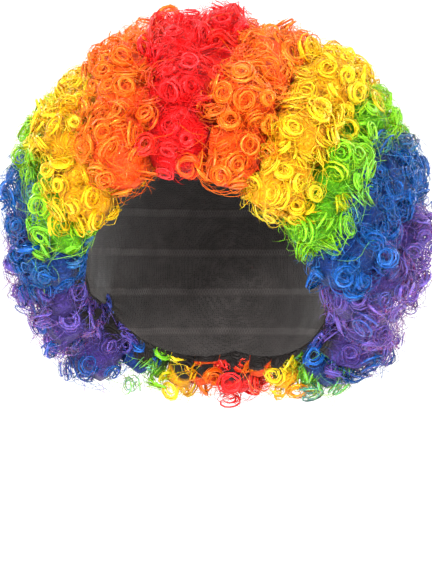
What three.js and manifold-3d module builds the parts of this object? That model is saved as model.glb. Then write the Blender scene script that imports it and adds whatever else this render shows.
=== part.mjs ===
// A rainbow afro wig: a soft net cap that fits over the head, and bands of curled locks in six
// colours that stand out from it all round into one ball of hair. Each band is sewn on as wefts that
// run from the front hairline, over the crown, to the nape, nested like horseshoes round each ear.
// Millimetres. The origin is the inside of the cap at the crown, where it sits on the head.
// +Z is up, -Y is the front, +X is the wearer's left.
import * as THREE from 'three';
import { mergeVertices } from 'three/addons/utils/BufferGeometryUtils.js';
import Module from 'manifold-3d';

const wasm = await Module();
wasm.setup();

// Inside of the cap: the upper part of an ellipsoid, as wide and long as the head
const HEAD_WIDTH = 146;
const HEAD_LENGTH = 180;
const CROWN_HEIGHT = 90; // from the head's widest level up to the crown
const CAP_WALL = 2; // stretch net with its weft tapes
const CAP_GAP = 0.4; // between the cap and the hair
const SPLIT_ANGLE = 0.17; // degrees that each band stands back from its neighbour's edge

// Ball of hair, measured over the ends of the curls
const HAIR_WIDTH = 260;
const HAIR_DEPTH = 272;
const HAIR_HEIGHT = 260; // as a whole ball, before the face and neck are left open
const HAIR_CENTRE = new THREE.Vector3(0, 13, -54);

// The point just behind each ear that the bands of colour run round, seen from the hair's centre
const EAR_DROP = 38; // degrees below the level
const EAR_BACKWARD = 10; // degrees behind the wearer's left

// How far round the ear the hair goes, in degrees from straight up, back being positive
const HAIRLINE_TURN = -80;
const HAIRLINE_ARCH = 10.5; // how much higher the hairline is over the temples
const ARCH_START = 0.18; // how much of that rise it has at the middle
const ARCH_END = 0.8; // share of the way to the ear where the rise is spent
const NAPE_TURN = 133;
const HAIRLINE_FLARE = 8; // how much further the ends of the curls reach than their roots
const NAPE_FLARE = 6;
const CAP_EAR_SHARE = 0.965; // the cap stops this far along the way from the middle to the ear
const MASS_EAR_SHARE = 0.95; // and the mass of hair this far
const MASS_DEPTH = 0.8; // of a full lock's radius, from the ends of the locks down to the mass
const MASS_OVER = 0.01; // share that the mass is made wider than its band, to be trimmed
const TURN_STEPS = 12; // facets along a band

// Locks: rounded ends of the curls, fused to the mass of hair under them
const LOCK_SPACING = 35;
const LOCK_SIDES = 6;
const LOCK_FATNESS = 0.6; // radius for each unit of the space a lock has
const LOCK_CROWDING = 0.58; // a lock is left out where another ends within this much of the spacing
const LOCK_STOUTNESS = 1.3; // least length for each unit of radius
const LOCK_ROOT = 8; // how deep a lock is set into the mass of hair
const ROOT_FLARE = 0.7; // how much of the flare a lock's root already has
const ROW_SPACING = 0.9; // of the locks' spacing, from one cross row to the next
const ROW_STAGGER = 0.12; // of a lock's room, to either side in turn
const RADIUS_SPREAD = 0.1; // how unevenly thick the locks are
const HEIGHT_SPREAD = 4; // how unevenly the ends stand out
const LEAN_SPREAD = 7; // how far a lock's end strays from straight out
const EDGE_LIFT = 0.5; // where the locks along the hairline and nape stand, between cap and ball
const EDGE_REACH = 5; // degrees that they hang past the edge of the mass
const EDGE_ROOT = 9; // and that they are set into it
const TRIM_REACH = 30; // how far past the ball the bands' dividing walls run
const TRIM_TURN = 30; // how many degrees past the hairline and the nape
const SMOOTHING = 1; // slivers between fused locks finer than this are merged
const TRIM_SMOOTHING = 0.12; // and those left by trimming

// Bands from the middle of the head towards each ear. Columns: start and end as a share of the way
// from the middle (0) to the ear (1), facets across, how far the curls stand proud, colour
const BANDS = [
  { colour: 'red', start: -0.1, end: 0.1, facets: 2, proud: 0, hex: 0xd90d1c },
  { colour: 'orange', start: 0.1, end: 0.255, facets: 2, proud: 0, hex: 0xff6412 },
  { colour: 'yellow', start: 0.255, end: 0.405, facets: 2, proud: 2, hex: 0xf2c714 },
  { colour: 'green', start: 0.405, end: 0.51, facets: 1, proud: 3, hex: 0x6cc414 },
  { colour: 'blue', start: 0.51, end: 0.68, facets: 2, proud: 5, hex: 0x0a56a8 },
  { colour: 'purple', start: 0.68, end: 1, facets: 2, proud: 4, hex: 0x6a4aa6 },
];
const CAP_HEX = 0x1c1815;

const rad = THREE.MathUtils.degToRad;
const lerp = THREE.MathUtils.lerp;

// A repeatable stream of numbers from 0 to 1, so that the locks stand a little unevenly
function unevenness(seed) {
  let state = seed;
  return () => {
    state = (Math.imul(state, 1664525) + 1013904223) >>> 0;
    return state / 2 ** 32;
  };
}

// The ear's direction from the hair's centre, and the two headings that turns are measured from
const EAR = new THREE.Vector3(
  Math.cos(rad(EAR_DROP)) * Math.cos(rad(EAR_BACKWARD)),
  Math.cos(rad(EAR_DROP)) * Math.sin(rad(EAR_BACKWARD)),
  -Math.sin(rad(EAR_DROP)),
);
const EAR_UP = new THREE.Vector3(0, 0, 1).addScaledVector(EAR, -EAR.z).normalize();
const EAR_BACK = new THREE.Vector3().crossVectors(EAR_UP, EAR).normalize();

function heading(turn) {
  return EAR_UP.clone().multiplyScalar(Math.cos(rad(turn))).addScaledVector(EAR_BACK, Math.sin(rad(turn)));
}

// Angle from the ear to the middle of the head along one turn
function earToMiddle(turn) {
  return Math.atan2(EAR.x, -heading(turn).x);
}

// Unit vector from the hair's centre: share runs from -1 at the right ear over 0 in the middle to 1 at
// the left ear, and turn goes round the ear from the hairline to the nape
function direction(share, turn) {
  const along = (1 - Math.abs(share)) * earToMiddle(turn);
  const out = EAR.clone().multiplyScalar(Math.cos(along)).addScaledVector(heading(turn), Math.sin(along));
  if (share < 0) out.x = -out.x;
  return out;
}

// Distance from the hair's centre to an ellipsoid along a direction
function reach(out, centre, halfX, halfY, halfZ) {
  const half = new THREE.Vector3(halfX, halfY, halfZ);
  const from = HAIR_CENTRE.clone().sub(centre).divide(half);
  const step = out.clone().divide(half);
  const a = step.lengthSq();
  const b = from.dot(step);
  const c = from.lengthSq() - 1;
  return (-b + Math.sqrt(b * b - a * c)) / a;
}

const HEAD_CENTRE = new THREE.Vector3(0, 0, -CROWN_HEIGHT);
const headRadius = (out) => reach(out, HEAD_CENTRE, HEAD_WIDTH / 2, HEAD_LENGTH / 2, CROWN_HEIGHT);
const hairRadius = (out) => reach(out, HAIR_CENTRE, HAIR_WIDTH / 2, HAIR_DEPTH / 2, HAIR_HEIGHT / 2);
const pointAt = (out, radius) => HAIR_CENTRE.clone().addScaledVector(out, radius);

// The turn at a step of the way (0 to 1) from the hairline, which arches at the temples, to the nape.
// A flare spreads the two ends further.
function turnAt(share, way, flare) {
  const along = lerp(ARCH_START, 1, Math.min(1, Math.abs(share) / ARCH_END));
  const front = HAIRLINE_TURN + HAIRLINE_ARCH * Math.sin(Math.PI * along) - HAIRLINE_FLARE * flare;
  return lerp(front, NAPE_TURN + NAPE_FLARE * flare, way);
}

function evenly(start, end, steps) {
  return Array.from({ length: steps + 1 }, (_, i) => lerp(start, end, i / steps));
}

const WAYS = evenly(0, 1, TURN_STEPS);

// Closed shell over a grid of shares and ways, from an inner point to an outer point at each
function shell(shares, ways, innerPoint, outerPoint) {
  const corners = [];
  for (const place of [innerPoint, outerPoint])
    for (const share of shares) for (const way of ways) corners.push(...place(share, way).toArray());
  const wide = shares.length;
  const long = ways.length;
  const inner = (i, j) => i * long + j;
  const outer = (i, j) => (wide + i) * long + j;
  const faces = [];
  const quad = (a, b, c, d) => faces.push(a, b, c, a, c, d);
  for (let i = 0; i < wide - 1; i++) {
    for (let j = 0; j < long - 1; j++) {
      quad(outer(i, j), outer(i + 1, j), outer(i + 1, j + 1), outer(i, j + 1));
      quad(inner(i, j), inner(i, j + 1), inner(i + 1, j + 1), inner(i + 1, j));
    }
    quad(inner(i, 0), inner(i + 1, 0), outer(i + 1, 0), outer(i, 0));
    quad(inner(i + 1, long - 1), inner(i, long - 1), outer(i, long - 1), outer(i + 1, long - 1));
  }
  for (let j = 0; j < long - 1; j++) {
    quad(inner(0, j), outer(0, j), outer(0, j + 1), inner(0, j + 1));
    quad(outer(wide - 1, j), inner(wide - 1, j), inner(wide - 1, j + 1), outer(wide - 1, j + 1));
  }
  const geometry = new THREE.BufferGeometry();
  geometry.setAttribute('position', new THREE.Float32BufferAttribute(corners, 3));
  geometry.setIndex(faces);
  return geometry;
}

// A closed surface as a solid that can be joined and cut
function solidOf(geometry) {
  const bare = new THREE.BufferGeometry();
  bare.setAttribute('position', geometry.getAttribute('position'));
  bare.setIndex(geometry.index);
  const merged = mergeVertices(bare, 1e-3);
  const found = merged.index.array;
  const triVerts = [];
  for (let i = 0; i < found.length; i += 3) {
    const [a, b, c] = found.slice(i, i + 3);
    if (a !== b && b !== c && c !== a) triVerts.push(a, b, c);
  }
  const vertProperties = merged.getAttribute('position').array;
  return new wasm.Manifold(
    new wasm.Mesh({ numProp: 3, vertProperties, triVerts: new Uint32Array(triVerts) }),
  );
}

// The largest body alone, with any pocket shut in between the locks filled
function oneBody(solid) {
  return solid.decompose().reduce((most, body) => (body.volume() > most.volume() ? body : most));
}

function geometryOf(solid) {
  const mesh = solid.getMesh();
  const geometry = new THREE.BufferGeometry();
  geometry.setAttribute('position', new THREE.BufferAttribute(mesh.vertProperties, 3));
  geometry.setIndex(new THREE.BufferAttribute(mesh.triVerts, 1));
  geometry.computeVertexNormals();
  return geometry;
}

function named(name, geometry, hex, roughness) {
  const material = new THREE.MeshStandardMaterial({ color: hex, roughness, metalness: 0 });
  const mesh = new THREE.Mesh(geometry, material);
  mesh.name = name;
  return mesh;
}

// The shares at which facets meet across a band on the cap, and across the whole cap from ear to ear
function sharesOnCap({ start, end, facets }) {
  return evenly(start, Math.min(end, CAP_EAR_SHARE), facets);
}

function capShares() {
  const [middle, ...others] = BANDS.map(sharesOnCap);
  const oneSide = others.flatMap((shares) => shares.slice(1));
  return [...oneSide.map((s) => -s).reverse(), ...middle, ...oneSide];
}

// Net cap that holds the hair, open at the face and neck
function cap() {
  const onHead = (thickness) => (share, way) => {
    const out = direction(share, turnAt(share, way, 0));
    return pointAt(out, headRadius(out) + thickness);
  };
  return named('cap', shell(capShares(), WAYS, onHead(0), onHead(CAP_WALL)), CAP_HEX, 0.95);
}

// One rounded lock that ends at a point and comes from the side where its root is
function lock(root, end, radius) {
  const length = Math.max(root.distanceTo(end), LOCK_STOUTNESS * radius);
  const axis = end.clone().sub(root).normalize();
  const profile = [
    [0, 0],
    [radius * 1.05, 0],
    [radius, length - radius * 0.75],
    [radius * 0.66, length - radius * 0.18],
    [0, length],
  ].map(([r, along]) => new THREE.Vector2(r, along));
  const geometry = new THREE.LatheGeometry(profile, LOCK_SIDES);
  geometry.translate(0, -length, 0);
  geometry.applyQuaternion(new THREE.Quaternion().setFromUnitVectors(new THREE.Vector3(0, 1, 0), axis));
  geometry.translate(end.x, end.y, end.z);
  return solidOf(geometry);
}

// How wide a band is over the ball at a step of the way, and how long it is along its middle
function bandWidth({ start, end }, way) {
  const a = direction(start, turnAt(start, way, 1));
  const b = direction(end, turnAt(end, way, 1));
  return a.angleTo(b) * hairRadius(a);
}

function bandLength({ start, end }) {
  const share = (start + end) / 2;
  const points = WAYS.map((way) => {
    const out = direction(share, turnAt(share, way, 1));
    return pointAt(out, hairRadius(out));
  });
  return points.slice(1).reduce((sum, p, i) => sum + p.distanceTo(points[i]), 0);
}

// All the locks of a band: cross rows from the hairline to the nape, as many in each as it has room
// for, and a lower row at each end that hangs over the edge
function bandLocks(details, side, random) {
  const locks = [];
  const tips = [];
  const spread = (amount) => (random() - 0.5) * 2 * amount;
  const rows = Math.round(bandLength(details) / (LOCK_SPACING * ROW_SPACING));
  for (let row = -1; row <= rows; row++) {
    const edge = row < 0 || row === rows;
    const way = Math.min(1, Math.max(0, (row + 0.5) / rows));
    const width = bandWidth(details, way);
    const across = Math.max(1, Math.round(width / LOCK_SPACING));
    for (let k = 0; k < across; k++) {
      const stagger = across === 1 ? 0 : row % 2 ? ROW_STAGGER : -ROW_STAGGER;
      const share = side * lerp(details.start, details.end, (k + 0.5 + stagger) / across);
      const radius = LOCK_FATNESS * Math.min(LOCK_SPACING, width / across) * (1 + spread(RADIUS_SPREAD));
      const stray = new THREE.Vector3(spread(LEAN_SPREAD), spread(LEAN_SPREAD), spread(LEAN_SPREAD));
      const uneven = spread(HEIGHT_SPREAD) - HEIGHT_SPREAD / 2;
      const outward = Math.sign(row) || 1;
      const turn = turnAt(share, way, edge ? EDGE_LIFT : 1);
      const out = direction(share, turn + (edge ? outward * EDGE_REACH : 0));
      const rootOut = direction(share, edge ? turn - outward * EDGE_ROOT : turnAt(share, way, ROOT_FLARE));
      const ball = hairRadius(out) + details.proud + uneven;
      const tip = edge ? lerp(headRadius(out), ball, EDGE_LIFT) : ball;
      const rootDepth = edge ? 0 : radius + LOCK_ROOT;
      const tipPoint = pointAt(out, tip).add(stray);
      if (tips.some((other) => other.distanceTo(tipPoint) < LOCK_SPACING * LOCK_CROWDING)) continue;
      tips.push(tipPoint);
      locks.push(lock(pointAt(rootOut, tip - rootDepth), tipPoint, radius));
    }
  }
  return locks;
}

// A band of hair: a thick mass with its locks fused on, trimmed clear of its neighbours and the cap
function band(details, side, name, seed) {
  const shares = sharesOnCap(details);
  if (details.end > CAP_EAR_SHARE) shares.push(details.end);
  if (side < 0) shares.reverse().forEach((share, i) => (shares[i] = -share));
  const first = shares[0];
  const last = shares[shares.length - 1];
  const inward = (share) => (Math.abs(share) === 1 ? 0 : share === first ? 1 : share === last ? -1 : 0);
  const setBack = (share, turn) => share + (inward(share) * rad(SPLIT_ANGLE)) / earToMiddle(turn);
  const trimPoint = (radius) => (share, way) => {
    const past = way < 0 ? -TRIM_TURN : way > 1 ? TRIM_TURN : 0;
    const turn = turnAt(share, Math.min(1, Math.max(0, way)), 0) + past;
    const out = direction(setBack(share, turn), turn);
    return pointAt(out, radius(out));
  };
  const trim = shell(
    shares,
    [-1, ...WAYS, 2],
    trimPoint((out) => headRadius(out) + CAP_WALL + CAP_GAP),
    trimPoint((out) => hairRadius(out) + TRIM_REACH),
  );
  const massPoint = (flare, radius) => (share, way) => {
    const wider = THREE.MathUtils.clamp(share - inward(share) * MASS_OVER, -MASS_EAR_SHARE, MASS_EAR_SHARE);
    const out = direction(wider, turnAt(share, way, flare));
    return pointAt(out, radius(out, way));
  };
  const massTop = (out, way) => {
    const full = hairRadius(out) - LOCK_SPACING * LOCK_FATNESS * MASS_DEPTH;
    return way > 0 && way < 1 ? full : lerp(headRadius(out), full, EDGE_LIFT);
  };
  const massRoot = (out) => headRadius(out) - CAP_WALL;
  const mass = shell(shares, WAYS, massPoint(0, massRoot), massPoint(EDGE_LIFT, massTop));
  const locks = bandLocks(details, side, unevenness(seed));
  const fused = wasm.Manifold.union([solidOf(mass), ...locks]).asOriginal().simplify(SMOOTHING);
  const hair = oneBody(fused.intersect(solidOf(trim))).asOriginal().simplify(TRIM_SMOOTHING);
  return named(name, geometryOf(hair), details.hex, 0.45);
}

const wig = new THREE.Group();
wig.add(cap());
BANDS.forEach((details, i) => {
  if (i === 0) {
    wig.add(band(details, 1, `${details.colour}_curls`, 11));
    return;
  }
  wig.add(band(details, 1, `${details.colour}_curls_left`, 20 + i));
  wig.add(band(details, -1, `${details.colour}_curls_right`, 41 + i));
});

export default wig;
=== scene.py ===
"""Looks of a rainbow afro wig: springy ringlets and frizz over each band of hair, on a dark net cap."""

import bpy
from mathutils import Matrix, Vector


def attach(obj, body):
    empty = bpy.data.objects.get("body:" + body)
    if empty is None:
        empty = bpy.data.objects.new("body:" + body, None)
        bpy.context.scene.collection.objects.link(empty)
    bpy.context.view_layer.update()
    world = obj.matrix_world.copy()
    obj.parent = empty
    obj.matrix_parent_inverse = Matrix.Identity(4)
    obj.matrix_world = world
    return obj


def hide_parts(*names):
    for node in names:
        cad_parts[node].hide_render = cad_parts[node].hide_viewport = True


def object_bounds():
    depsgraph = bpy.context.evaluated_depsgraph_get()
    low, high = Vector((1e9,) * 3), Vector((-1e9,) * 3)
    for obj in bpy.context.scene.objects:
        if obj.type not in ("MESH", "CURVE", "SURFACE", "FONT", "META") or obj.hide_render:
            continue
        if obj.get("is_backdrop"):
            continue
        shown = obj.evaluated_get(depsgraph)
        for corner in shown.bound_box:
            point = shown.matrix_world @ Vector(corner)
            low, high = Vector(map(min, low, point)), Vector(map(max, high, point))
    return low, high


bl_info = {
    "name": "Rainbow Afro Wig",
    "version": (1, 0, 0),
    "blender": (4, 5, 0),
    "location": "3D View > Sidebar > Wig",
    "description": "Grows ringlets and frizz over the bands of a rainbow afro wig and lights it",
    "category": "Object",
}

import math

import bmesh
import bpy
import numpy as np
from bpy.props import FloatProperty, FloatVectorProperty, IntProperty, PointerProperty
from mathutils import Vector
from mathutils.bvhtree import BVHTree

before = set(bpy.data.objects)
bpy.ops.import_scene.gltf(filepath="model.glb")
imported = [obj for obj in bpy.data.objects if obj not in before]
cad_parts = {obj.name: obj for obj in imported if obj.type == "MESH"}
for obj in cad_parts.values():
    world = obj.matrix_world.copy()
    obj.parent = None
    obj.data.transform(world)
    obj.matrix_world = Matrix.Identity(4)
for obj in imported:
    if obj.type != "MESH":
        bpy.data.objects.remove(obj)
CAD_LOW, CAD_HIGH = (list(corner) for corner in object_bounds())

# The bands from the parting down to the lowest, with the nodes of each, how loose its curls are, how far (m)
# strays of the band before get into it, the share of its curls at the hem in that colour, and its seed.
BANDS = (
    {"colour": "red", "nodes": ("red_curls",), "loose": 0.3, "mixing": 0.008, "hem": 0.0, "seed": 3},
    {"colour": "orange", "nodes": ("orange_curls_left", "orange_curls_right"),
     "loose": 0.35, "mixing": 0.008, "hem": 0.0, "seed": 13},
    {"colour": "yellow", "nodes": ("yellow_curls_left", "yellow_curls_right"),
     "loose": 0.25, "mixing": 0.008, "hem": 0.0, "seed": 23},
    {"colour": "green", "nodes": ("green_curls_left", "green_curls_right"),
     "loose": 0.3, "mixing": 0.008, "hem": 0.0, "seed": 33},
    {"colour": "blue", "nodes": ("blue_curls_left", "blue_curls_right"),
     "loose": 0.4, "mixing": 0.008, "hem": 0.9, "seed": 43},
    {"colour": "purple", "nodes": ("purple_curls_left", "purple_curls_right"),
     "loose": 0.42, "mixing": 0.025, "hem": 0.85, "seed": 53},
)
# How far (m) strays of the band after get into a band.
MIXING_AFTER = 0.008
# Right beside another band, the share of curls that are strays, the least and the further share of its colour
# that strays take, and the most that other curls take.
STRAY_SHARE = 0.2
STRAY_COLOUR = (0.55, 0.45)
STRAY_TINT = 0.35
# Added to a band's seed for the curls themselves, once their places are found.
CURL_SEED = 5

# The middle of the ball of hair, which the curls grow away from.
HAIR_CENTRE = np.array((0.0, 0.013, -0.054))
# How many places are tried on each node, and one in how many of those that show stands for its surface.
PLACES_TRIED = 9000
SURFACE_STEP = 4
# A place counts as showing when nothing stands this near in front of it.
SHOWING_CLEARANCE = 0.009
# Rays start this far in front of a place or under it, so that they miss the triangle that it lies on.
RAY_LIFT = 2e-4
RAY_SINK = 1e-4
# From this on (as a cosine) a place counts as facing fully out of the ball of hair.
FULLY_FACING = 0.8
# Where the dense hair isn't drawn in, curls stand closer: their share of the spacing, and what is left of it.
CLOSE_SPACING = 0.85
CLOSE_REST = 0.15

# Curls fill a groove up to this depth, as if a ball of this curve (per metre) rolled over the locks. They do
# so fully where they grow outward by this cosine.
GROOVE_DEPTH = 0.016
GROOVE_CURVE = 14.0
GROOVE_FACING = 0.4
# Curls settle on the crown, where the way out of the ball rises by this sine, and fully over this much more.
CROWN_FROM = 0.55
CROWN_RAMP = 0.4

# The hollow of the cap: its middle, its half sizes, and how much larger the space kept clear of curls is.
HOLLOW_CENTRE = np.array((0.0, 0.0, -0.090))
HOLLOW_SIZE = np.array((0.073, 0.090, 0.090))
HOLLOW_ROOM = 1.03
# Dense hair that faces the hollow is sewn to a dark lining, which also stands in for painted shade on the
# hair's inner faces, up to this share of the hollow's size, and the lining ends over this much more.
LINING_REACH = 1.1
LINING_FADE = 0.1

# Below this height the curls of the lowest bands are at the hem, and fully so this much further down.
HEM_HEIGHT = -0.136
HEM_BLEND = 0.012
# The dense hair is drawn in by at most this share of its thickness, and fully where it faces out by this
# cosine.
DRAWN_THICKNESS = 0.4
DRAWN_FACING = 0.5
# It is drawn in from this share of the hollow's size outward, and fully over this much more.
DRAWN_FROM = 1.04
DRAWN_RAMP = 0.14
# It is drawn in less by this share at the hem, beginning this far above it and fully over this height.
HEM_FIRMNESS = 0.6
HEM_RISE = 0.018
HEM_RAMP = 0.02

# How far the fibres of a ringlet shade as one bundle (0: each fibre is round by itself), and how soon a side
# that faces away from the bundle leaves off doing so.
BUNDLING = 1.2
BUNDLE_REACH = 0.8
# Every fibre is a tube with this many sides.
TUBE_SIDES = 3

# The share of ringlets that sit upright, and how far those and the others tilt.
UPRIGHT_SHARE = 0.65
UPRIGHT_TILT = 0.35
LEANING_TILT = 0.95
# How ringlets vary: the least of each, and how much more it can be. The lift is in metres, the cone in radii,
# and the others are shares of the usual size.
RADIUS_RANGE = (0.7, 0.55)
TURNS_RANGE = (0.9, 0.2)
DEPTH_RANGE = (0.75, 0.5)
CONE_RANGE = (-0.25, 0.6)
LIFT_RANGE = (-0.0015, 0.003)
# A leaning ringlet is sunk by this share of what its rim would stand up.
RIM_SINK = 0.6
# A ringlet seen end on is a ring: its middle line and half thickness, and how far it falls away at its edges,
# as shares of the ringlet's radius.
RING_MIDDLE = 0.72
RING_THICKNESS = 0.34
RING_FALL = 0.2
# The outer and inner fibre of a ringlet as shares of its radius, the points along each fibre, and how much
# painted shine is added to its tone, which paints it nearer the lit copy of its colour and gives it more
# painted glints.
RIBBON_NEST = (1.0, 0.45)
RIBBON_POINTS = 14
RIBBON_PAINTED_SHINE = 0.2
STRAND_NEST = (1.12, 0.35)
STRAND_POINTS = 12
STRAND_PAINTED_SHINE = 0.5
# How far fibres stray from the turns of their ringlet, and how much further in a loose one. Along the axis a
# full stray is this long (m).
FIBRE_STRAY = 0.05
LOOSE_STRAY = 0.16
AXIS_STRAY = 0.012
# Waves along a fibre: their height in radii, how many there are to a turn, and the range that they start in.
WAVE_HEIGHT = 0.05
WAVE_PACE = 2.3
WAVE_START = 6.3
# A fibre comes up out of the hair by most of its depth over the first part of its length, and by the rest
# evenly.
QUICK_RISE = 0.8
QUICK_PART = 0.35
EVEN_RISE = 0.2
# Ribbons turn with the round of the ring, by this angle at its edges, and stray from that by this much.
RIBBON_TURN = 1.1
TURN_STRAY = 0.25
# How the widths of fibres vary, and how much thinner they are in a loose ringlet.
FIBRE_WIDTH_RANGE = (0.7, 0.6)
LOOSE_THINNING = 0.55
# How much of a fibre's tone is its ringlet's and how much its own.
RINGLET_TONE = 0.5
FIBRE_TONE = 0.3
# Parts at the start and end of a fibre, and what they lose: of the spiral's radius, and of the fibre's width.
SPIRAL_PROFILE = {"start": 0.4, "start_loss": 0.35, "end": 0.35, "end_loss": 0.35}
FIBRE_TAPER = {"start": 0.15, "start_loss": 0.5, "end": 0.25, "end_loss": 0.65}
FRIZZ_TAPER = {"start": 0.2, "start_loss": 0.4, "end": 0.3, "end_loss": 0.75}

# The points along a frizzy fibre, and its palest tone; the higher the tone, the more painted glints it
# carries.
FRIZZ_POINTS = 8
FRIZZ_TONE_AND_SHINE = 1.2
# The share of frizzy fibres that stand up, how much larger it is in a loose band, and how much of their
# length they reach sideways.
STANDING_SHARE = 0.2
LOOSE_STANDING = 0.15
STANDING_REACH = 0.5
# How frizzy fibres vary: the least of each, and how much more it can be. Rises and swings are in metres,
# waves are numbers of turns, and lengths and widths are shares of the usual size.
FRIZZ_LENGTH_RANGE = (0.6, 0.8)
FRIZZ_WIDTH_RANGE = (0.75, 0.5)
STANDING_RISE = (0.002, 0.006)
LYING_RISE = (-0.001, 0.003)
FRIZZ_WAVES = (0.5, 0.6)
FRIZZ_SWING = (0.0012, 0.0022)
# How deep their roots are (m).
STANDING_ROOT = 0.006
LYING_ROOT = 0.004
# They also bob up and down, by this share of their swing and at this pace of it.
BOB_SHARE = 0.5
BOB_PACE = 1.3

# Shaded hair has its colour raised to this power, and hair that light shines through gains this much white.
DEEPENING = 1.35
GLOW = 0.015
# The strength of a painted glint on black hair, and how much more it is on the brightest.
GLINT_STRENGTH = 0.45
GLINT_GAIN = 0.55
# Corners of the solids nearer than this are one, and edges of the cap from this angle on are sharp.
WELD_DISTANCE = 1e-6
SHARP_ANGLE = math.radians(40)


class CurlSizes(bpy.types.PropertyGroup):
    """Sizes of the curls and the loose fibres."""

    spacing: FloatProperty(
        name="Ringlet spacing", description="Least distance between two ringlets",
        default=0.0133, min=0.008, max=0.04, unit="LENGTH")
    radius: FloatProperty(
        name="Ringlet radius", description="Usual radius of a ringlet",
        default=0.0070, min=0.003, max=0.02, unit="LENGTH")
    turns: FloatProperty(
        name="Turns", description="Usual number of turns in a ringlet", default=1.25, min=0.5, max=5.0)
    depth: FloatProperty(
        name="Ringlet depth", description="How far a ringlet reaches into the hair",
        default=0.008, min=0.002, max=0.04, unit="LENGTH")
    ribbons: IntProperty(
        name="Ribbons", description="Flat ribbons of fibres in a ringlet", default=5, min=1, max=8)
    ribbon_width: FloatProperty(
        name="Ribbon width", description="Half width of a ribbon of fibres",
        default=0.00096, min=0.0002, max=0.004, unit="LENGTH")
    ribbon_depth: FloatProperty(
        name="Ribbon depth", description="Half depth of a ribbon of fibres",
        default=0.0003, min=0.0001, max=0.002, unit="LENGTH")
    strands: IntProperty(
        name="Strands", description="Loose strands in a ringlet", default=4, min=1, max=20)
    strand_width: FloatProperty(
        name="Strand width", description="Half width of a loose strand",
        default=0.00023, min=0.0001, max=0.001, unit="LENGTH")
    frizz_spacing: FloatProperty(
        name="Frizz spacing", description="Least distance between two frizzy fibres",
        default=0.0051, min=0.002, max=0.02, unit="LENGTH")
    frizz_width: FloatProperty(
        name="Frizz width", description="Half width of a frizzy fibre",
        default=0.00015, min=0.00005, max=0.001, unit="LENGTH")
    frizz_length: FloatProperty(
        name="Frizz length", description="Usual length of a frizzy fibre",
        default=0.022, min=0.005, max=0.06, unit="LENGTH")
    fill: FloatProperty(
        name="Groove fill", description="How far curls fill the grooves between locks",
        default=0.9, min=0.0, max=1.0, subtype="FACTOR")
    settle: FloatProperty(
        name="Settle", description="How far the curls sink on the crown under their own weight",
        default=0.0045, min=0.0, max=0.02, unit="LENGTH")
    stand: FloatProperty(
        name="Stand", description="How far curls stand clear of the dense hair where it isn't drawn in",
        default=0.0042, min=0.0, max=0.02, unit="LENGTH")
    mass_depth: FloatProperty(
        name="Mass depth", description="How far the dense hair lies below the outside of the curls",
        default=0.0075, min=0.0, max=0.02, unit="LENGTH")


class HairColours(bpy.types.PropertyGroup):
    """Colours of the bands, the cap and the backdrop."""

    red: FloatVectorProperty(
        name="Red", description="Colour of the middle band", subtype="COLOR", size=3, min=0, max=1,
        default=(0.86, 0.006, 0.011))
    orange: FloatVectorProperty(
        name="Orange", description="Colour of the orange bands", subtype="COLOR", size=3, min=0, max=1,
        default=(1.0, 0.145, 0.004))
    yellow: FloatVectorProperty(
        name="Yellow", description="Colour of the yellow bands", subtype="COLOR", size=3, min=0, max=1,
        default=(0.92, 0.48, 0.006))
    green: FloatVectorProperty(
        name="Green", description="Colour of the green bands", subtype="COLOR", size=3, min=0, max=1,
        default=(0.17, 0.48, 0.006))
    blue: FloatVectorProperty(
        name="Blue", description="Colour of the blue bands", subtype="COLOR", size=3, min=0, max=1,
        default=(0.0005, 0.066, 0.27))
    purple: FloatVectorProperty(
        name="Purple", description="Colour of the lowest bands", subtype="COLOR", size=3, min=0, max=1,
        default=(0.105, 0.062, 0.29))
    cap: FloatVectorProperty(
        name="Cap", description="Colour of the net cap", subtype="COLOR", size=3, min=0, max=1,
        default=(0.014, 0.011, 0.010))
    backdrop: FloatVectorProperty(
        name="Backdrop", description="Colour of the floor and the wall", subtype="COLOR", size=3,
        min=0, max=1, default=(0.90, 0.90, 0.90))


class StudioSizes(bpy.types.PropertyGroup):
    """Places of the camera and the floor."""

    turn: FloatProperty(
        name="Camera turn", description="How far the camera stands round to the left side of the wig",
        default=math.radians(12), subtype="ANGLE")
    distance: FloatProperty(
        name="Camera distance", description="From the camera to the wig", default=1.8, unit="LENGTH")
    view_height: FloatProperty(
        name="View height", description="Height of the picture at the wig", default=0.358, unit="LENGTH")
    aim_height: FloatProperty(
        name="Aim height", description="Height of the middle of the picture", default=-0.102, unit="LENGTH")
    aim_side: FloatProperty(
        name="Aim side", description="Middle of the picture, to the right of the cap's middle",
        default=0.0037, unit="LENGTH")
    floor_drop: FloatProperty(
        name="Floor drop", description="From the lowest hair down to the floor", default=0.14, unit="LENGTH")


def unit(vectors):
    """The vectors at length 1."""
    return vectors / np.maximum(np.linalg.norm(vectors, axis=-1, keepdims=True), 1e-12)


def ease(share):
    """A smooth step from 0 to 1."""
    share = np.clip(share, 0, 1)
    return share * share * (3 - 2 * share)


def thinned(share, start, start_loss, end, end_loss):
    """1 along the middle of a fibre, and less over a part of it at its start and at its end."""
    return 1 - end_loss * ease((share - 1 + end) / end) - start_loss * ease((start - share) / start)


def varied(random, shape, least, more):
    """Random numbers from the least up to that much more."""
    return least + more * random.random(shape)


def sideways(ways):
    """Two unit vectors square to each way and to each other."""
    nearly_vertical = 0.9
    slanting = np.abs(ways[..., 2:]) < nearly_vertical
    helper = np.where(slanting, np.array((0.0, 0.0, 1.0)), np.array((1.0, 0.0, 0.0)))
    first = unit(np.cross(ways, helper))
    return first, np.cross(ways, first)


def hollow_share(places):
    """How far places lie from the middle of the hollow, as a share of the hollow's own size there."""
    return np.linalg.norm((places - HOLLOW_CENTRE) / HOLLOW_SIZE, axis=-1)


def out_of_hollow(lines):
    """The lines, moved out of the hollow of the cap."""
    share = hollow_share(lines)[..., None]
    return HOLLOW_CENTRE + (lines - HOLLOW_CENTRE) * np.maximum(1, HOLLOW_ROOM / share)


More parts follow.
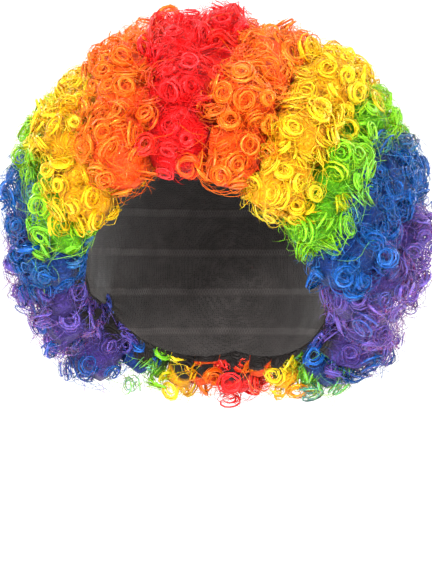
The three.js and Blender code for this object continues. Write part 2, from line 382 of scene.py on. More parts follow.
def drawn_in(tree, places, normals, depth):
    """What share of a depth the dense hair is drawn in at places, by up to a part of its thickness.

    It isn't beside the hollow or where it faces it, and it is less so along the hem.
    """
    outward = unit(places - HAIR_CENTRE)
    thickness = np.array([
        tree.ray_cast(Vector(place - RAY_SINK * normal), Vector(-way))[3] or 0.0
        for place, normal, way in zip(places, normals, outward)])
    facing = ease((normals * outward).sum(1) / DRAWN_FACING)
    off_hollow = ease((hollow_share(places) - DRAWN_FROM) / DRAWN_RAMP)
    above_hem = 1 - HEM_FIRMNESS * ease((HEM_HEIGHT + HEM_RISE - places[:, 2]) / HEM_RAMP)
    return np.minimum(1, DRAWN_THICKNESS * thickness / depth) * (facing * off_hollow * above_hem)


def triangles_of(node):
    """The corners of a node's triangles, as an array of triangles by 3 corners by 3."""
    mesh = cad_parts[node].data
    mesh.calc_loop_triangles()
    corners = np.zeros(len(mesh.vertices) * 3)
    mesh.vertices.foreach_get("co", corners)
    indices = np.zeros(len(mesh.loop_triangles) * 3, int)
    mesh.loop_triangles.foreach_get("vertices", indices)
    return corners.reshape(-1, 3)[indices].reshape(-1, 3, 3)


def tree_of(nodes):
    """A search tree of the nodes' triangles."""
    corners = np.concatenate([triangles_of(node) for node in nodes]).reshape(-1, 3)
    return BVHTree.FromPolygons(corners.tolist(), np.arange(len(corners)).reshape(-1, 3).tolist())


def clear_along(tree, places, ways):
    """Which places have nothing standing near in front of them along their ways."""
    return np.array([
        tree.ray_cast(Vector(place + RAY_LIFT * way), Vector(way), SHOWING_CLEARANCE)[0] is None
        for place, way in zip(places, ways)])


def showing_places(node, tree, depth, random):
    """Places spread at random over the part of a node's surface that shows.

    Gives the places, the ways that curls grow there, and how far the dense hair is drawn in under them.
    """
    corners = triangles_of(node)
    crossed = np.cross(corners[:, 1] - corners[:, 0], corners[:, 2] - corners[:, 0])
    area = np.linalg.norm(crossed, axis=1)
    chosen = random.choice(len(corners), PLACES_TRIED, p=area / area.sum())
    shares = random.random((PLACES_TRIED, 2))
    over = shares.sum(1) > 1
    shares[over] = 1 - shares[over]
    first, second, third = (corners[chosen, corner] for corner in range(3))
    places = first + shares[:, :1] * (second - first) + shares[:, 1:] * (third - first)
    normals = unit(crossed[chosen])
    outward = unit(places - HAIR_CENTRE)
    # Curls turn outward on the outside of the ball, and lie flat on the hair where it faces another way.
    ways = unit(normals + ease((normals * outward).sum(1) / FULLY_FACING)[:, None] * outward)
    blocked = ~clear_along(tree, places, ways)
    ways[blocked] = normals[blocked]
    clear = clear_along(tree, places, ways)
    return places[clear], ways[clear], drawn_in(tree, places[clear], normals[clear], depth)


def raised(places, ways, drawn, surface, sizes):
    """The places, moved out of grooves towards a ball that rolls over the surface, and settled on the crown.

    Where the dense hair isn't drawn in, they stand clear of it.
    """
    arms = places - HAIR_CENTRE
    reach = np.linalg.norm(arms, axis=1)
    outward = arms / reach[:, None]
    distance = (places ** 2).sum(1)[:, None] + (surface ** 2).sum(1) - 2 * places @ surface.T
    level = (np.linalg.norm(surface - HAIR_CENTRE, axis=1) - GROOVE_CURVE * distance).max(1)
    facing = ease((ways * outward).sum(1) / GROOVE_FACING)
    rise = sizes.fill * np.clip(level - reach, 0, GROOVE_DEPTH) * facing
    rise -= sizes.settle * ease((outward[:, 2] - CROWN_FROM) / CROWN_RAMP)
    return places + outward * rise[:, None] + ways * (sizes.stand * (1 - drawn))[:, None]


def spread_out(places, spacing):
    """Indices of places that keep their own distance from those before them."""
    kept = np.zeros((0, 3))
    indices = []
    for index, place in enumerate(places):
        if len(kept) == 0 or ((kept - place) ** 2).sum(1).min() > spacing[index] ** 2:
            kept = np.vstack((kept, place))
            indices.append(index)
    return np.array(indices, int)


def tubes(lines, wide, lean, half_width, half_depth, values):
    """Closed tubes along lines (strands by points by 3), flattened square to wide.

    The normals turn towards lean, so that tubes that lie side by side shade as one round bundle. values holds
    one number of each attribute for every strand. Gives vertices, normals, faces and vertex attributes.
    """
    shape = (*lines.shape[:2], TUBE_SIDES)
    along = unit(np.gradient(lines, axis=1))
    first = unit(wide - (wide * along).sum(-1, keepdims=True) * along)
    second = np.cross(along, first)
    angle = 2 * np.pi * np.arange(TUBE_SIDES) / TUBE_SIDES
    offsets = (
        half_width[:, :, None, None] * np.cos(angle)[:, None] * first[:, :, None]
        + half_depth[:, :, None, None] * np.sin(angle)[:, None] * second[:, :, None])
    own = unit(
        half_depth[:, :, None, None] * np.cos(angle)[:, None] * first[:, :, None]
        + half_width[:, :, None, None] * np.sin(angle)[:, None] * second[:, :, None])
    beside = ease((own * lean[:, :, None]).sum(-1, keepdims=True) + BUNDLE_REACH)
    index = np.arange(math.prod(shape)).reshape(shape)
    turned = np.roll(index, -1, axis=2)
    walls = np.stack((index[:, :-1], turned[:, :-1], turned[:, 1:], index[:, 1:]), axis=-1)
    attributes = {key: np.broadcast_to(value[:, None, None], shape).ravel() for key, value in values.items()}
    attributes["across"] = np.broadcast_to(np.cos(angle), shape).ravel()
    attributes["along"] = np.broadcast_to(np.linspace(0, 1, shape[1])[:, None], shape).ravel()
    return {
        "vertices": (lines[:, :, None] + offsets).reshape(-1, 3),
        "normals": unit(own + BUNDLING * beside * lean[:, :, None]).reshape(-1, 3),
        "faces": [walls.reshape(-1, 4), np.concatenate((index[:, 0, ::-1], index[:, -1]))],
        "attributes": attributes,
    }


def joined(first, second):
    """Two sets of tubes as one."""
    start = len(first["vertices"])
    return {
        "vertices": np.concatenate((first["vertices"], second["vertices"])),
        "normals": np.concatenate((first["normals"], second["normals"])),
        "faces": first["faces"] + [group + start for group in second["faces"]],
        "attributes": {
            key: np.concatenate((value, second["attributes"][key]))
            for key, value in first["attributes"].items()},
    }


def tube_mesh(name, vertices, normals, faces, attributes):
    """One mesh of many tubes."""
    loops = np.concatenate([group.ravel() for group in faces])
    lengths = np.concatenate([np.full(len(group), group.shape[1]) for group in faces])
    mesh = bpy.data.meshes.new(name)
    mesh.vertices.add(len(vertices))
    mesh.vertices.foreach_set("co", vertices.astype(np.float32).ravel())
    mesh.loops.add(len(loops))
    mesh.loops.foreach_set("vertex_index", loops.astype(np.int32))
    mesh.polygons.add(len(lengths))
    mesh.polygons.foreach_set("loop_start", (np.cumsum(lengths) - lengths).astype(np.int32))
    mesh.polygons.foreach_set("use_smooth", np.ones(len(lengths), bool))
    for key, values in attributes.items():
        mesh.attributes.new(key, "FLOAT", "POINT").data.foreach_set("value", values.astype(np.float32))
    mesh.update(calc_edges=True)
    mesh.normals_split_custom_set_from_vertices(normals)
    return mesh


def shown_piece(name, mesh, material):
    """A piece that goes with the wig and takes a finish."""
    piece = bpy.data.objects.new(name, mesh)
    bpy.context.scene.collection.objects.link(piece)
    piece.data.materials.append(material)
    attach(piece, "root")
    return piece


def neighbour_blend(places, band, before, after, random):
    """How much of a neighbouring band's colour each place takes.

    Below 0 it is the colour of the band before, and above 0 that of the band after.
    """
    count = len(places)
    low = ease((HEM_HEIGHT - places[:, 2]) / HEM_BLEND)
    blend = np.where(random.random(count) < band["hem"] * low, -1.0, 0.0)
    for tree, sign, mixing in ((before, -1, band["mixing"]), (after, 1, MIXING_AFTER)):
        if tree is None:
            continue
        distance = np.array([tree.find_nearest(Vector(place))[3] for place in places])
        near = np.exp(-distance / mixing)
        strays = random.random(count) < STRAY_SHARE * near
        tint = STRAY_TINT * near * random.random(count)
        blend += sign * np.where(strays, varied(random, count, *STRAY_COLOUR), tint)
    return np.clip(blend, -1, 1)


def ringlet_part(places, ways, blend, loose, sizes, random):
    """One ringlet at each place: nested turns of a spiral that sinks into the hair, with loose strands."""
    count = len(places)
    each = (count, 1, 1)
    tilt = np.where(random.random((count, 1)) < UPRIGHT_SHARE, UPRIGHT_TILT, LEANING_TILT)
    axis = unit(ways + tilt * unit(random.normal(size=(count, 3))))
    lean = np.linalg.norm(np.cross(axis, ways), axis=1)
    radius = sizes.radius * varied(random, count, *RADIUS_RANGE)
    ringlet = {
        "place": places[:, None, None],
        "axis": axis[:, None, None],
        "radius": radius[:, None, None],
        "start": random.random(each),
        "turns": np.where(random.random(count) < 0.5, -1.0, 1.0)[:, None, None]
        * sizes.turns * varied(random, each, *TURNS_RANGE),
        "depth": sizes.depth * varied(random, each, *DEPTH_RANGE),
        "cone": varied(random, each, *CONE_RANGE),
        "lift": (varied(random, count, *LIFT_RANGE) - RIM_SINK * radius * lean)[:, None, None],
        "loose": np.minimum(1, 2 * loose * random.random(each)),
        "tone": random.random((count, 1)),
        "blend": blend,
    }
    ribbons = turned_fibres(
        ringlet, np.linspace(*RIBBON_NEST, sizes.ribbons), sizes.ribbon_width, sizes.ribbon_depth,
        RIBBON_POINTS, RIBBON_PAINTED_SHINE, random)
    strands = turned_fibres(
        ringlet, np.linspace(*STRAND_NEST, sizes.strands), sizes.strand_width, sizes.strand_width,
        STRAND_POINTS, STRAND_PAINTED_SHINE, random)
    return joined(ribbons, strands)


def turned_fibres(ringlet, nested, half_width, half_depth, points, painted_shine, random):
    """The fibres of ringlets, one at each share of the radius in nested."""
    count, number = len(ringlet["blend"]), len(nested)
    shape = (count, number, 1)
    share = np.linspace(0, 1, points)
    radius, axis = ringlet["radius"], ringlet["axis"]
    first, second = sideways(axis)
    stray = FIBRE_STRAY + LOOSE_STRAY * ringlet["loose"]
    nested = nested[:, None] + stray * random.normal(size=shape)
    turned = ringlet["start"] + ringlet["turns"] * share + 2 * stray * random.normal(size=shape)
    angle = 2 * np.pi * turned
    wave = WAVE_HEIGHT * np.sin(angle * WAVE_PACE + WAVE_START * random.random(shape))
    spread = radius * (nested + wave) * thinned(share, **SPIRAL_PROFILE)
    bulge = (nested - RING_MIDDLE) / RING_THICKNESS
    dive = ringlet["depth"] * (1 - QUICK_RISE * ease(share / QUICK_PART) - EVEN_RISE * share)
    height = (
        ringlet["lift"] + radius * (ringlet["cone"] * (1 - nested) - RING_FALL * bulge ** 2) - dive
        + AXIS_STRAY * stray * random.normal(size=shape))
    around = np.cos(angle)[..., None] * first + np.sin(angle)[..., None] * second
    lines = out_of_hollow(ringlet["place"] + axis * height[..., None] + around * spread[..., None])
    tilt = RIBBON_TURN * bulge + TURN_STRAY * random.normal(size=shape)
    tilt = np.broadcast_to(tilt, angle.shape)[..., None]
    flare = np.cos(tilt) * around - np.sin(tilt) * axis
    lean = np.sin(tilt) * around + np.cos(tilt) * axis
    own_width = varied(random, shape, *FIBRE_WIDTH_RANGE) * (1 - LOOSE_THINNING * ringlet["loose"])
    taper = (thinned(share, **FIBRE_TAPER) * own_width).reshape(-1, points)
    own_tone = FIBRE_TONE * random.random((count, number))
    # The tone carries painted shine as well as the fibre's own random tone.
    values = {
        "tone": (RINGLET_TONE * ringlet["tone"] + own_tone + painted_shine).ravel(),
        "blend_in": np.repeat(ringlet["blend"], number),
        "strand": random.random(count * number),
    }
    return tubes(
        lines.reshape(-1, points, 3), flare.reshape(-1, points, 3), lean.reshape(-1, points, 3),
        half_width * taper, half_depth * taper, values)


def frizz_part(places, ways, blend, loose, sizes, random):
    """One wavy loose fibre at each place: most lie along the surface and some stand up from it."""
    count = len(places)
    each = (count, 1)
    first, second = sideways(ways)
    turn = 2 * np.pi * random.random(each)
    lying = np.cos(turn) * first + np.sin(turn) * second
    across = np.cross(ways, lying)
    standing = random.random(each) < STANDING_SHARE + LOOSE_STANDING * loose
    length = sizes.frizz_length * varied(random, each, *FRIZZ_LENGTH_RANGE)
    standing_rise = varied(random, each, *STANDING_RISE)
    lying_rise = varied(random, each, *LYING_RISE)
    waves = varied(random, each, *FRIZZ_WAVES)
    swing = varied(random, each, *FRIZZ_SWING)
    share = np.linspace(0, 1, FRIZZ_POINTS)
    reach = np.where(standing, STANDING_REACH, 1.0) * length * (share - 0.5)
    height = np.where(
        standing,
        (standing_rise + STANDING_ROOT) * share - STANDING_ROOT,
        (lying_rise + LYING_ROOT) * np.sin(np.pi * share) - LYING_ROOT)
    angle = 2 * np.pi * (waves * share + random.random(each))
    sway = swing * np.sin(angle)
    bob = BOB_SHARE * swing * np.cos(angle * BOB_PACE)
    lines = out_of_hollow(
        places[:, None]
        + lying[:, None] * reach[..., None]
        + ways[:, None] * (height + bob)[..., None]
        + across[:, None] * sway[..., None])
    width = sizes.frizz_width * varied(random, each, *FRIZZ_WIDTH_RANGE) * thinned(share, **FRIZZ_TAPER)
    # The frizz's tone also carries painted glints.
    values = {"tone": FRIZZ_TONE_AND_SHINE * random.random(count), "blend_in": blend, "strand": random.random(count)}
    upright = np.broadcast_to(ways[:, None], lines.shape)
    return tubes(lines, upright, upright, width, width, values)


class NodeChain:
    """A material's nodes, added and linked one after the other."""

    def __init__(self, name):
        self.material = bpy.data.materials.new(name)
        self.material.use_nodes = True
        self.tree = self.material.node_tree

    def add(self, kind, inputs=None, **settings):
        """A node with its settings and inputs. An input is a value, or a socket to link from."""
        node = self.tree.nodes.new(kind)
        for key, value in settings.items():
            setattr(node, key, value)
        for key, value in (inputs or {}).items():
            self.join(value, node.inputs[key])
        return node

    def join(self, value, socket):
        """Links a socket or sets a value."""
        if isinstance(value, bpy.types.NodeSocket):
            self.tree.links.new(value, socket)
        else:
            socket.default_value = value

    def place(self):
        """The place on the object. Gives its socket."""
        return self.add("ShaderNodeTexCoord").outputs["Object"]

    def noise(self, output, **inputs):
        """A noise texture with its inputs. Gives one of its sockets."""
        return self.add("ShaderNodeTexNoise", inputs).outputs[output]

    def figure(self, operation, *values):
        """Arithmetic on values. Gives its socket."""
        return self.add("ShaderNodeMath", dict(enumerate(values)), operation=operation).outputs[0]

    def vector(self, operation, *values, output="Vector"):
        """Arithmetic on vectors. Gives one of its sockets."""
        node = self.add("ShaderNodeVectorMath", dict(enumerate(values)), operation=operation)
        return node.outputs[output]

    def mixed(self, factor, first, second):
        """A mix of two colours. Gives its colour socket."""
        node = self.add("ShaderNodeMix", data_type="RGBA", clamp_factor=True)
        sockets = (node.inputs[0], node.inputs[6], node.inputs[7])
        for socket, value in zip(sockets, (factor, first, second)):
            self.join(value, socket)
        return node.outputs[2]

    def ranged(self, value, low, high, to_low, to_high):
        """A value mapped from one range to another. Gives its socket."""
        node = self.add("ShaderNodeMapRange", {
            "Value": value, "From Min": low, "From Max": high, "To Min": to_low, "To Max": to_high})
        return node.outputs["Result"]

    def bump(self, height, strength, distance):
        """A normal that follows a height. Gives its socket."""
        node = self.add("ShaderNodeBump", {"Height": height, "Strength": strength, "Distance": distance})
        return node.outputs["Normal"]

    def shaded(self, inputs):
        """The material, with the inputs of its shader set or linked."""
        shader = self.tree.nodes["Principled BSDF"]
        for key, value in inputs.items():
            self.join(value, shader.inputs[key])
        return self.material


def with_alpha(colour):
    """A colour with full cover."""
    return (*colour, 1.0)


def deeper(colour, share):
    """The colour of the same hair painted where less light reaches it; on the net, its darker cells and
    slubs.
    """
    return with_alpha([value ** DEEPENING * share for value in colour])


def brighter(colour, share):
    """The colour of the same hair painted where light shines through it; on the net, its lighter threads,
    tape and stitches.
    """
    return with_alpha([min(1.0, value * (1 + share) + GLOW * share) for value in colour])


def paler(colour, share):
    """The colour of a painted glint on the same hair: stronger, and part of the way to white."""
    strength = GLINT_STRENGTH + GLINT_GAIN * max(colour)
    return with_alpha([strength * (share + (1 - share) * value / max(colour)) for value in colour])


def fibre_material(name, colour, before, after):
    """Glossy curled fibre: each strand has its own tone, painted between shade and light, with painted glints
    on its brightest streaks, and strays take a neighbouring band's colour.
    """
    chain = NodeChain(name)
    tone, blend, across, along, strand = (
        chain.add("ShaderNodeAttribute", attribute_name=key).outputs["Fac"]
        for key in ("tone", "blend_in", "across", "along", "strand"))
    # Streaks run along each strand, which has its own place in the noise, as if the strands lay far apart.
    strands_apart, stretch = 90.0, (2.6, 4.0, 20.0)
    beside = chain.figure("MULTIPLY_ADD", strand, strands_apart, across)
    run = chain.add("ShaderNodeCombineXYZ", {"X": beside, "Y": along, "Z": strand}).outputs[0]
    stretched = chain.vector("MULTIPLY", run, stretch)
    streaks = chain.noise("Fac", Vector=stretched, Scale=1.0, Detail=3.0, Roughness=0.65)
    # Each strand's tone sets it between a painted shaded copy and a painted lit copy of its colour.
    own = chain.mixed(tone, deeper(colour, 0.95), brighter(colour, 0.35))
    own = chain.mixed(chain.ranged(blend, 0.0, -1.0, 0.0, 1.0), own, with_alpha(before))
    own = chain.mixed(chain.ranged(blend, 0.0, 1.0, 0.0, 1.0), own, with_alpha(after))
    streaked = chain.vector("MULTIPLY", own, chain.ranged(streaks, 0.34, 0.62, 0.42, 1.3))
    # Painted glints: the brightest streaks are painted paler, as highlights, and more so on strands with a
    # high tone.
    tone_share = 0.14
    gleam = chain.figure("MULTIPLY_ADD", tone, tone_share, streaks)
    glinting = chain.mixed(chain.ranged(gleam, 0.63, 0.75, 0.0, 0.9), streaked, paler(colour, 0.04))
    shining = chain.mixed(chain.ranged(gleam, 0.72, 0.8, 0.0, 0.75), glinting, paler(colour, 0.25))
    return chain.shaded({
        "Base Color": shining,
        "Roughness": chain.ranged(streaks, 0.3, 0.7, 0.32, 0.13),
        "Normal": chain.bump(streaks, 0.7, 0.0004),
        "Specular IOR Level": 0.6,
        "Specular Tint": with_alpha([0.2 + 0.8 * value for value in colour]),
        "Metallic": 0.25,
        "Subsurface Weight": 0.4,
        "Subsurface Scale": 0.003,
    })


def mass_material(name, colour, lining_and_shade):
    """Dense hair under the ringlets, painted in shaded copies of its colour: rings of curls in painted shade,
    crinkled fibres and painted shade in the gaps between curls, on a dark lining that also stands in for
    painted shade on the hair's inner faces.
    """
    chain = NodeChain(name)
    place = chain.place()
    crinkle = chain.noise("Fac", Vector=place, Scale=330.0, Detail=4.0, Roughness=0.62, Distortion=2.0)
    # The cells that the rings lie in wander by a few millimetres, and the rings crinkle.
    wandering, rings_apart, ring_crinkle = (0.006, 0.006, 0.006), 34.0, 7.0
    wander = chain.noise("Color", Vector=place, Scale=110.0, Detail=2.0)
    swayed = chain.vector("MULTIPLY_ADD", wander, wandering, place)
    curl = chain.add("ShaderNodeTexVoronoi", {"Vector": swayed, "Scale": 95.0}).outputs["Distance"]
    turned = chain.figure("MULTIPLY", curl, rings_apart)
    rings = chain.figure("SINE", chain.figure("MULTIPLY_ADD", crinkle, ring_crinkle, turned))
    # The rings of curls are painted in shade, between two shaded copies of the colour.
    ring_shaded = chain.mixed(chain.ranged(rings, -0.8, 0.9, 0.0, 1.0), deeper(colour, 0.85), deeper(colour, 1.15))
    fibres = chain.mixed(chain.ranged(crinkle, 0.4, 0.62, 0.55, 0.0), ring_shaded, deeper(colour, 0.72))
    # Painted shade darkens the gaps at the edges of the curls.
    gap_shaded = chain.mixed(chain.ranged(curl, 0.45, 0.72, 0.0, 0.75), fibres, deeper(colour, 0.62))
    # The lining, also painted shade on the inner faces, is where the hair lies near the hollow of the cap and
    # faces it.
    scaled = chain.vector("DIVIDE", chain.vector("SUBTRACT", place, HOLLOW_CENTRE), HOLLOW_SIZE)
    out = chain.vector("LENGTH", scaled, output="Value")
    away = chain.vector("NORMALIZE", scaled)
    normal = chain.add("ShaderNodeNewGeometry").outputs["Normal"]
    facing = chain.vector("DOT_PRODUCT", away, normal, output="Value")
    near = chain.ranged(out, LINING_REACH, LINING_REACH + LINING_FADE, 1.0, 0.0)
    sewn = chain.figure("MULTIPLY", near, chain.ranged(facing, -0.5, -0.2, 1.0, 0.0))
    ring_height = 0.4
    height = chain.figure("MULTIPLY_ADD", rings, ring_height, crinkle)
    return chain.shaded({
        # Inward-facing hair takes the cap's dark colour: a lining, and painted shade.
        "Base Color": chain.mixed(sewn, gap_shaded, with_alpha(lining_and_shade)),
        "Roughness": chain.ranged(crinkle, 0.3, 0.7, 0.6, 0.38),
        "Normal": chain.bump(height, 0.9, 0.002),
        "Specular IOR Level": 0.25,
    })


def net_material(name, colour):
    """Dark stretch net: fine knitted cells, with rows of stitched tape that carry the hair."""
    chain = NodeChain(name)
    place = chain.place()
    parts = chain.add("ShaderNodeSeparateXYZ", {0: place}).outputs
    cells = chain.add("ShaderNodeTexVoronoi", {
        "Vector": place, "Scale": 850.0, "Randomness": 0.55}, feature="DISTANCE_TO_EDGE").outputs["Distance"]
    slub = chain.noise("Fac", Vector=place, Scale=90.0, Detail=3.0)
    thread = chain.ranged(cells, 0.05, 0.3, 1.0, 0.0)
    # The tapes run level round the cap and sway a little, with half of their spacing given in metres.
    tape_sway, half_spacing = 0.0016, 0.0125
    row = chain.figure("PINGPONG", chain.figure("MULTIPLY_ADD", slub, tape_sway, parts["Z"]), half_spacing)
    tape = chain.ranged(row, 0.0021, 0.0027, 1.0, 0.0)
    # A zigzag of stitches runs along each tape: half a stitch is an angle round the cap.
    half_stitch, stitch_slope = 0.011, -0.17
    around = chain.figure("ARCTAN2", parts["X"], parts["Y"])
    zigzag = chain.figure("PINGPONG", around, half_stitch)
    apart = chain.figure("ABSOLUTE", chain.figure("MULTIPLY_ADD", zigzag, stitch_slope, row))
    stitch = chain.ranged(apart, 0.0002, 0.0004, 1.0, 0.0)
    woven = chain.mixed(thread, deeper(colour, 0.5), brighter(colour, 0.45))
    taped = chain.mixed(tape, woven, brighter(colour, 0.35))
    sewn = chain.mixed(stitch, taped, brighter(colour, 1.3))
    tape_height, stitch_height = 1.6, 0.8
    raised_tape = chain.figure("MULTIPLY_ADD", tape, tape_height, thread)
    height = chain.figure("MULTIPLY_ADD", stitch, stitch_height, raised_tape)
    return chain.shaded({
        "Base Color": chain.mixed(chain.ranged(slub, 0.35, 0.7, 0.0, 0.4), sewn, deeper(colour, 0.8)),
        "Roughness": chain.ranged(slub, 0.3, 0.7, 0.72, 0.88),
        "Normal": chain.bump(height, 0.6, 0.0004),
        "Sheen Weight": 0.1,
        "Specular IOR Level": 0.2,
    })


def backdrop_material(name, colour):
    """Pale matt paper."""
    chain = NodeChain(name)
    grain = chain.noise("Fac", Vector=chain.place(), Scale=6.0, Detail=4.0)
    shade = chain.mixed(grain, with_alpha([value * 0.985 for value in colour]), with_alpha(colour))
    return chain.shaded({
        "Base Color": shade,
        "Emission Color": shade,
        "Emission Strength": 0.3,
        "Roughness": 0.95,
        "Specular IOR Level": 0.1,
    })


def welded(node):
    """An editable copy of a node's mesh, with the corners of its triangles joined."""
    shell = bmesh.new()
    shell.from_mesh(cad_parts[node].data)
    bmesh.ops.remove_doubles(shell, verts=shell.verts, dist=WELD_DISTANCE)
    return shell


def smooth_mesh(name, shell):
    """The editable copy as a smooth mesh."""
    mesh = bpy.data.meshes.new(name)
    shell.to_mesh(mesh)
    shell.free()
    mesh.shade_smooth()
    return mesh


class WIG_OT_net_cap(bpy.types.Operator):
    """Makes the cap of dark stretch net"""

    bl_idname = "wig.net_cap"
    bl_label = "Net cap"

    def execute(self, context):
        colours = context.scene.wig_colours
        mesh = smooth_mesh("net_cap", welded("cap"))
        mesh.set_sharp_from_angle(angle=SHARP_ANGLE)
        piece = shown_piece("net_cap", mesh, net_material("cap_net", colours.cap))
        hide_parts("cap")
        return {"FINISHED"}


class WIG_OT_hair_masses(bpy.types.Operator):
    """Makes the dense frizz that lies under the ringlets of each band"""

    bl_idname = "wig.hair_masses"
    bl_label = "Hair masses"

    def execute(self, context):
        sizes, colours = context.scene.wig_sizes, context.scene.wig_colours
        for band in BANDS:
            material = mass_material(
                f"{band['colour']}_frizzed_mass", getattr(colours, band["colour"]), colours.cap)
            for node in band["nodes"]:
                self.mass(node, sizes.mass_depth, f"{band['colour']}_hair", material)
        return {"FINISHED"}

    def mass(self, node, depth, slot, material):
        """A softened copy of a node, its outside drawn in under the curls where it is thick enough."""
        shell = welded(node)
        shell.normal_update()
        places = np.array([corner.co for corner in shell.verts])
        normals = np.array([corner.normal for corner in shell.verts])
        drawn = drawn_in(BVHTree.FromBMesh(shell), places, normals, depth)
        drawn_places = places - (depth * drawn)[:, None] * unit(places - HAIR_CENTRE)
        for corner, place in zip(shell.verts, drawn_places):
            corner.co = place
        piece = shown_piece(f"{node}_mass", smooth_mesh(f"{node}_mass", shell), material)
        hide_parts(node)


class WIG_OT_ringlets(bpy.types.Operator):
    """Grows the springy ringlets and the loose frizz of each band"""

    bl_idname = "wig.ringlets"
    bl_label = "Ringlets and frizz"

    def execute(self, context):
        sizes, colours = context.scene.wig_sizes, context.scene.wig_colours
        solids = tree_of(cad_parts)
        trees = [tree_of(band["nodes"]) for band in BANDS]
        showing = {
            node: showing_places(
                node, solids, sizes.mass_depth, np.random.default_rng(band["seed"] + side))
            for band in BANDS for side, node in enumerate(band["nodes"])
        }
        surface = np.concatenate([places[::SURFACE_STEP] for places, _, _ in showing.values()])
        last = len(BANDS) - 1
        for index, band in enumerate(BANDS):
            neighbours = (BANDS[max(index - 1, 0)], BANDS[min(index + 1, last)])
            shades = [getattr(colours, part["colour"]) for part in (band, *neighbours)]
            material = fibre_material(f"{band['colour']}_fibre", *shades)
            before = trees[index - 1] if index > 0 else None
            after = trees[index + 1] if index < last else None
            for side, node in enumerate(band["nodes"]):
                random = np.random.default_rng(band["seed"] + side + CURL_SEED)
                self.grow(node, band, material, showing[node], surface, (before, after), sizes, random)
        return {"FINISHED"}

    def grow(self, node, band, material, showing, surface, nearby, sizes, random):
        """The ringlets and the frizz of one node, each as one piece."""
        places, ways, drawn = showing
        kinds = (("ringlets", sizes.spacing, ringlet_part), ("frizz", sizes.frizz_spacing, frizz_part))
        for kind, spacing, make in kinds:
            chosen = spread_out(places, spacing * (CLOSE_SPACING + CLOSE_REST * drawn))
            blend = neighbour_blend(places[chosen], band, *nearby, random)
            roots = raised(places[chosen], ways[chosen], drawn[chosen], surface, sizes)
            fibres = make(roots, ways[chosen], blend, band["loose"], sizes, random)
            mesh = tube_mesh(f"{node}_{kind}", **fibres)
            shown_piece(f"{node}_{kind}", mesh, material)


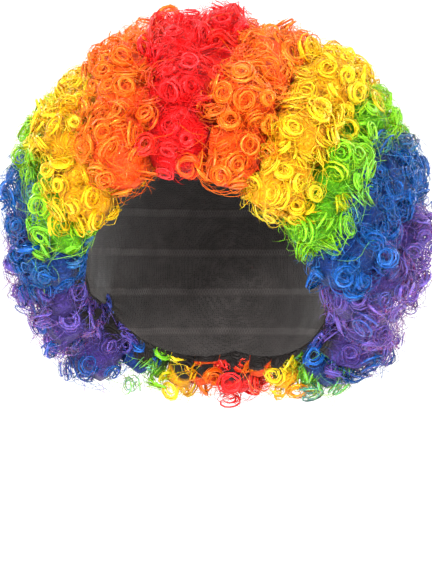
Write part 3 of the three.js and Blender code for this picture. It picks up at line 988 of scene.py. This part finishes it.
class WIG_OT_studio(bpy.types.Operator):
    """Sets the pale backdrop, the lights and the camera"""

    bl_idname = "wig.studio"
    bl_label = "Studio"

    # Each light's place and side are in metres, and its power in watts.
    LIGHTS = (
        {"name": "key", "place": (-0.35, -2.1, 0.5), "side": 0.2, "power": 60},
        {"name": "fill", "place": (1.0, -1.9, 0.15), "side": 0.8, "power": 40},
        {"name": "top", "place": (0.1, 0.2, 1.9), "side": 1.0, "power": 30},
        {"name": "back_left", "place": (-1.5, 1.6, 0.9), "side": 1.0, "power": 26},
        {"name": "back_right", "place": (1.5, 1.6, 0.9), "side": 1.0, "power": 26},
    )
    # The backdrop in metres: rings of the floor, from the inside to its edge, the radius of the sweep and the
    # height of the wall. The last two are its steps round the floor and up the sweep.
    FLOOR_RINGS = (0.4, 1.5, 3.6)
    SWEEP = 1.0
    WALL = 1.6
    STEPS_AROUND = 96
    STEPS_UP = 9

    def execute(self, context):
        studio, colours = context.scene.wig_studio, context.scene.wig_colours
        middle = (Vector(CAD_LOW) + Vector(CAD_HIGH)) / 2
        self.backdrop(CAD_LOW[2] - studio.floor_drop, colours.backdrop)
        for light in self.LIGHTS:
            self.light(light, middle)
        self.ambient(context.scene)
        self.camera(context.scene, studio)
        return {"FINISHED"}

    def backdrop(self, height, colour):
        """A round floor whose edge sweeps up into a wall on every side."""
        flat, sweep, around = self.FLOOR_RINGS[-1], self.SWEEP, self.STEPS_AROUND
        turns = np.linspace(0, np.pi / 2, self.STEPS_UP + 1)
        profile = [(out, 0.0) for out in self.FLOOR_RINGS]
        profile += [(flat + sweep * math.sin(turn), sweep * (1 - math.cos(turn))) for turn in turns[1:]]
        profile.append((flat + sweep, sweep + self.WALL))
        vertices = [(0.0, 0.0, height)]
        for out, up in profile:
            for step in range(around):
                turn = 2 * math.pi * step / around
                vertices.append((out * math.cos(turn), out * math.sin(turn), height + up))
        faces = [(0, 1 + step, 1 + (step + 1) % around) for step in range(around)]
        for ring in range(len(profile) - 1):
            low, high = 1 + ring * around, 1 + (ring + 1) * around
            for step in range(around):
                after = (step + 1) % around
                faces.append((low + step, high + step, high + after, low + after))
        mesh = bpy.data.meshes.new("backdrop")
        mesh.from_pydata(vertices, [], faces)
        mesh.shade_smooth()
        backdrop = bpy.data.objects.new("backdrop", mesh)
        bpy.context.scene.collection.objects.link(backdrop)
        mesh.materials.append(backdrop_material("pale_paper", colour))
        backdrop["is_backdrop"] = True

    def light(self, light, middle):
        """A square lamp turned to the middle of the wig."""
        lamp = bpy.data.lights.new(light["name"], "AREA")
        lamp.size = light["side"]
        lamp.energy = light["power"]
        holder = bpy.data.objects.new(light["name"], lamp)
        holder.location = light["place"]
        holder.rotation_euler = (middle - holder.location).to_track_quat("-Z", "Y").to_euler()
        bpy.context.scene.collection.objects.link(holder)

    def ambient(self, scene):
        """Even white light from all round, shown without a film curve."""
        world = bpy.data.worlds.new("white_room")
        world.use_nodes = True
        background = world.node_tree.nodes["Background"]
        background.inputs["Color"].default_value = (1, 1, 1, 1)
        background.inputs["Strength"].default_value = 0.6
        scene.world = world
        scene.view_settings.view_transform = "Standard"

    def camera(self, scene, studio):
        """A long lens, level with the wig."""
        right = Vector((math.cos(studio.turn), math.sin(studio.turn), 0))
        back = Vector((math.sin(studio.turn), -math.cos(studio.turn), 0))
        aim = right * studio.aim_side + Vector((0, 0, studio.aim_height))
        lens = bpy.data.cameras.new("camera")
        lens.sensor_width = 36
        lens.lens = lens.sensor_width * studio.distance / studio.view_height
        holder = bpy.data.objects.new("camera", lens)
        holder.location = aim + back * studio.distance
        holder.rotation_euler = (-back).to_track_quat("-Z", "Y").to_euler()
        scene.collection.objects.link(holder)
        scene.camera = holder


class WIG_PT_panel(bpy.types.Panel):
    """Lists the steps that make the wig"""

    bl_idname = "WIG_PT_panel"
    bl_label = "Rainbow Afro Wig"
    bl_space_type = "VIEW_3D"
    bl_region_type = "UI"
    bl_category = "Wig"

    def draw(self, context):
        for operator in OPERATORS:
            self.layout.operator(operator.bl_idname)
        for settings in (context.scene.wig_sizes, context.scene.wig_colours, context.scene.wig_studio):
            box = self.layout.box()
            for name in settings.__annotations__:
                box.prop(settings, name)


OPERATORS = (WIG_OT_net_cap, WIG_OT_hair_masses, WIG_OT_ringlets, WIG_OT_studio)
CLASSES = (CurlSizes, HairColours, StudioSizes, *OPERATORS, WIG_PT_panel)


def register():
    for item in CLASSES:
        bpy.utils.register_class(item)
    bpy.types.Scene.wig_sizes = PointerProperty(type=CurlSizes)
    bpy.types.Scene.wig_colours = PointerProperty(type=HairColours)
    bpy.types.Scene.wig_studio = PointerProperty(type=StudioSizes)


def unregister():
    del bpy.types.Scene.wig_studio
    del bpy.types.Scene.wig_colours
    del bpy.types.Scene.wig_sizes
    for item in reversed(CLASSES):
        bpy.utils.unregister_class(item)


def main():
    register()
    bpy.ops.wig.net_cap()
    bpy.ops.wig.hair_masses()
    bpy.ops.wig.ringlets()
    bpy.ops.wig.studio()


if __name__ == "__main__":
    main()
